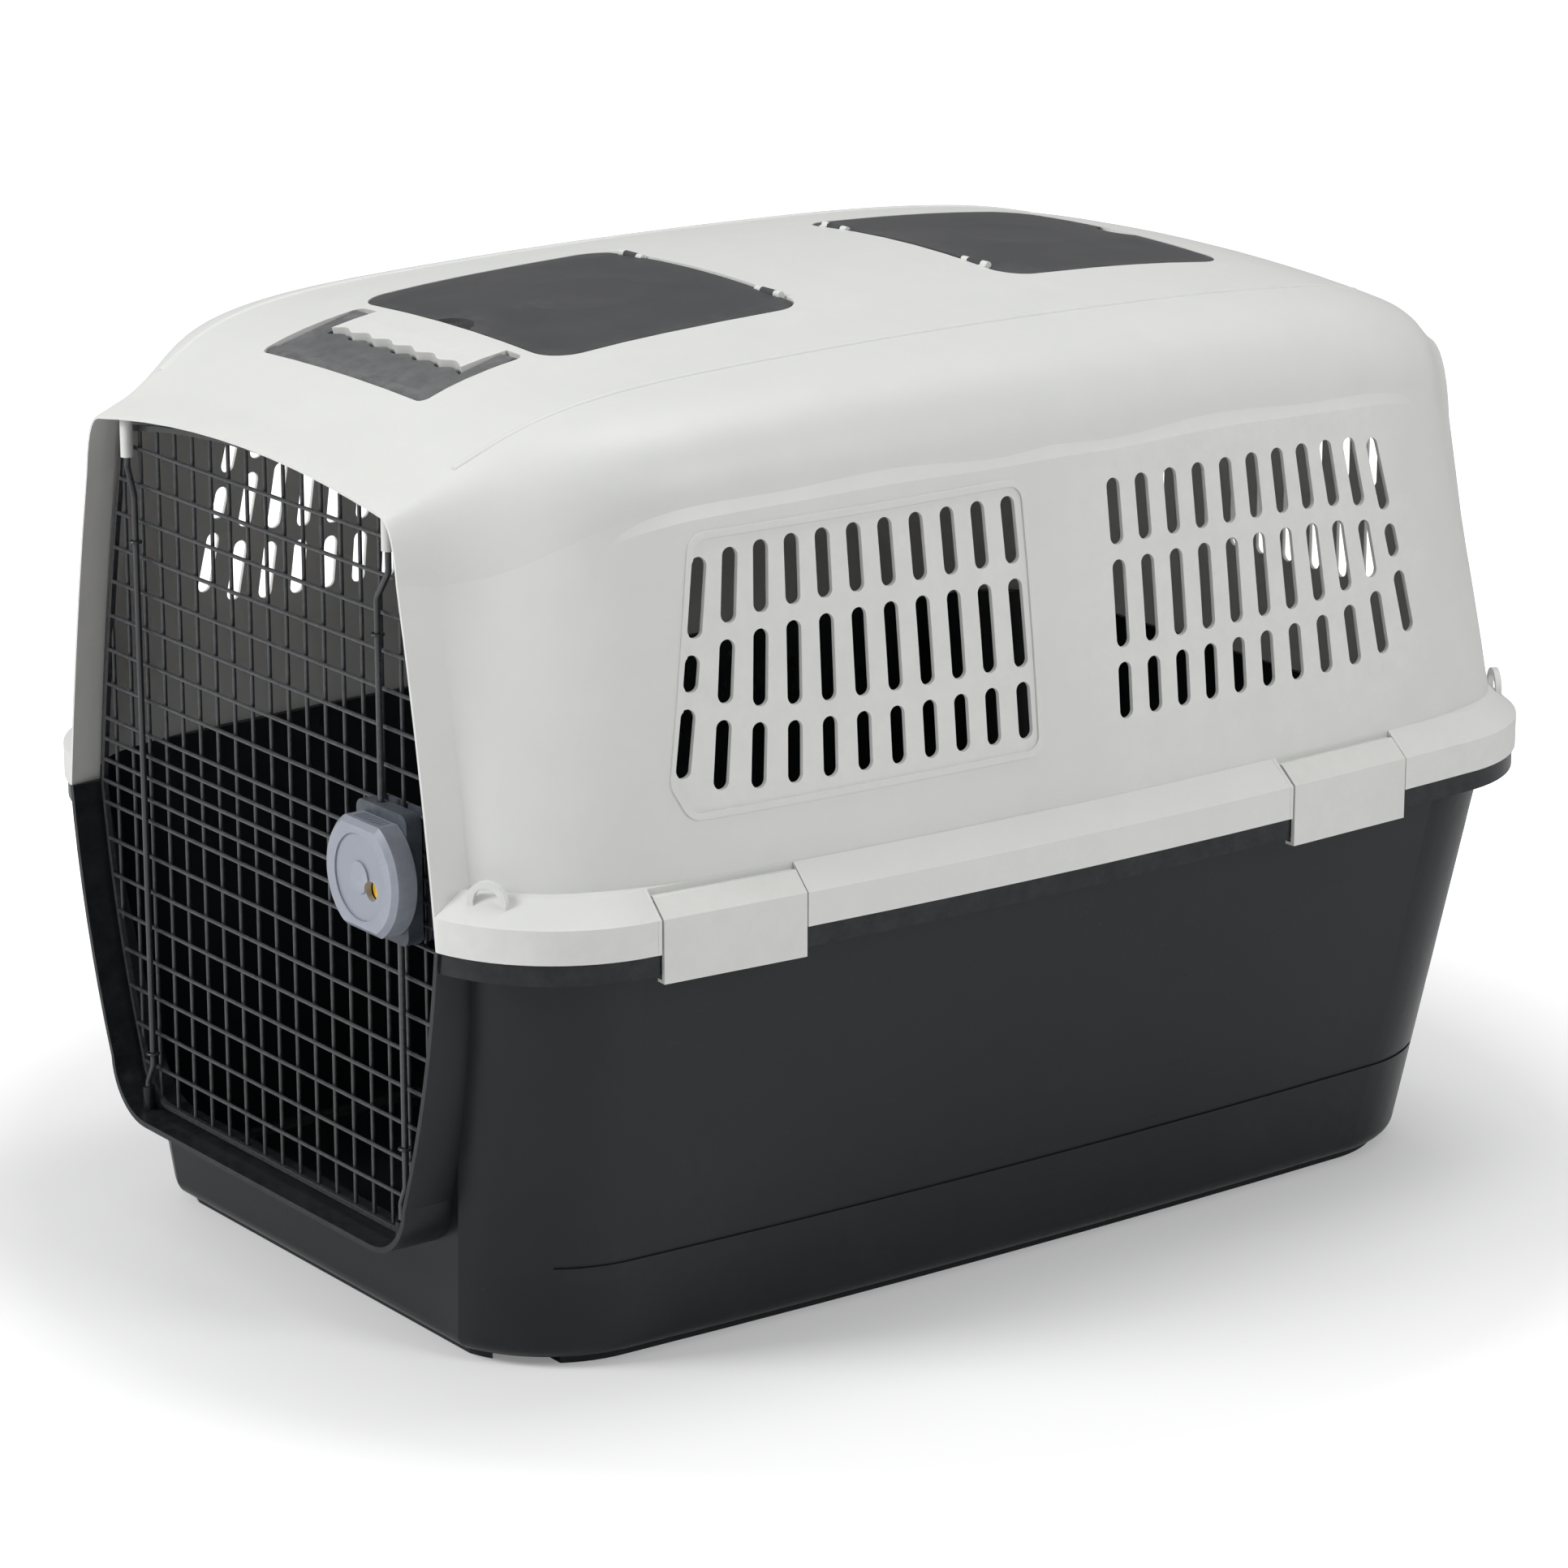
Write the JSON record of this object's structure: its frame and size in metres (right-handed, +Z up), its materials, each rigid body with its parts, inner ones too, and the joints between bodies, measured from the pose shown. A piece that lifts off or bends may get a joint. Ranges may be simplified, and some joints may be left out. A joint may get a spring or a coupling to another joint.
{
  "type": "pet transport carrier",
  "caption": "Two-shell moulded pet carrier with a hinged wire door, turn-dial bolt lock, side clips, two roof hatches and a fold-down carry handle.",
  "frame": {"origin": "middle of the footprint, on the surface the carrier stands on", "axes": "+Z up, -Y out of the doorway, +X to the right seen from the front"},
  "size_m": [0.768, 1.052, 0.758],
  "materials": {
    "shell_light": "satin moulded polypropylene",
    "latch_light": "satin moulded polypropylene",
    "tub_dark": "satin moulded polypropylene",
    "hatch_dark": "fine-grained moulded polypropylene",
    "handle_dark": "satin moulded polypropylene",
    "door_wire": "dark coated steel wire",
    "rod_steel": "dark coated steel rod",
    "dial_blue": "satin moulded plastic",
    "lock_slate": "satin moulded plastic",
    "indicator_yellow": "gloss moulded plastic",
    "pin_steel": "drawn steel",
    "screw_steel": "zinc-plated steel"
  },
  "bodies": {
    "root": {"lower_shell": "tub_dark", "upper_shell": "shell_light", "latch_pins": "pin_steel", "hatch_pins": "pin_steel", "handle_pins": "pin_steel"},
    "door": {"door_frame_wire": "door_wire", "door_cross_wires": "door_wire", "door_upright_wires": "door_wire", "hinge_rod": "rod_steel", "rod_guides": "door_wire", "lock_housing": "lock_slate", "lock_back_plate": "lock_slate", "lock_screws": "screw_steel", "lock_indicator": "indicator_yellow"},
    "dial": {"lock_dial": "dial_blue", "dial_pinion": "lock_slate", "dial_screw": "screw_steel"},
    "upper_bolt": {"upper_lock_bolt": "rod_steel", "upper_bolt_rack": "lock_slate"},
    "lower_bolt": {"lower_lock_bolt": "rod_steel", "lower_bolt_rack": "lock_slate"},
    "latch_front_right": {"side_latch_front_right": "latch_light"},
    "latch_front_left": {"side_latch_front_left": "latch_light"},
    "latch_rear_right": {"side_latch_rear_right": "latch_light"},
    "latch_rear_left": {"side_latch_rear_left": "latch_light"},
    "front_hatch": {"front_roof_hatch": "hatch_dark"},
    "rear_hatch": {"rear_roof_hatch": "hatch_dark"},
    "handle": {"carry_handle": "handle_dark"}
  },
  "joints": [
    {"name": "door_swing", "type": "hinge", "parent": "root", "child": "door", "pos_m": [-0.187, -0.498, 0.348], "axis": [0, 0, -1], "range_deg": [0, 110]},
    {"name": "dial_turn", "type": "hinge", "parent": "door", "child": "dial", "pos_m": [0.182, -0.498, 0.386], "axis": [0, 1, 0], "range_deg": [0, 90]},
    {"name": "upper_bolt_slide", "type": "slide", "parent": "door", "child": "upper_bolt", "axis": [0, 0, 1], "range_m": [0, 0.0118]},
    {"name": "lower_bolt_slide", "type": "slide", "parent": "door", "child": "lower_bolt", "axis": [0, 0, -1], "range_m": [0, 0.0118]},
    {"name": "latch_front_right_swing", "type": "hinge", "parent": "root", "child": "latch_front_right", "pos_m": [0.35586, -0.32283, 0.3845], "axis": [-0.0707, -0.9975, 0], "range_deg": [0, 100]},
    {"name": "latch_front_left_swing", "type": "hinge", "parent": "root", "child": "latch_front_left", "pos_m": [-0.35586, -0.32283, 0.3845], "axis": [-0.0707, 0.9975, 0], "range_deg": [0, 100]},
    {"name": "latch_rear_right_swing", "type": "hinge", "parent": "root", "child": "latch_rear_right", "pos_m": [0.36017, 0.26707, 0.3845], "axis": [0.0561, -0.9984, 0], "range_deg": [0, 100]},
    {"name": "latch_rear_left_swing", "type": "hinge", "parent": "root", "child": "latch_rear_left", "pos_m": [-0.36017, 0.26707, 0.3845], "axis": [0.0561, 0.9984, 0], "range_deg": [0, 100]},
    {"name": "front_hatch_lift", "type": "hinge", "parent": "root", "child": "front_hatch", "pos_m": [0, -0.0887, 0.7532], "axis": [-1, 0, 0], "range_deg": [0, 100]},
    {"name": "rear_hatch_lift", "type": "hinge", "parent": "root", "child": "rear_hatch", "pos_m": [0, 0.1137, 0.7532], "axis": [1, 0, 0], "range_deg": [0, 100]},
    {"name": "handle_lift", "type": "hinge", "parent": "root", "child": "handle", "pos_m": [0, -0.33665, 0.73018], "axis": [-1, 0, 0], "range_deg": [0, 75]}
  ],
  "couplings": [
    {"joint": "upper_bolt_slide", "follows": "dial_turn", "m_per_rad": 0.0075},
    {"joint": "lower_bolt_slide", "follows": "dial_turn", "m_per_rad": 0.0075}
  ]
}
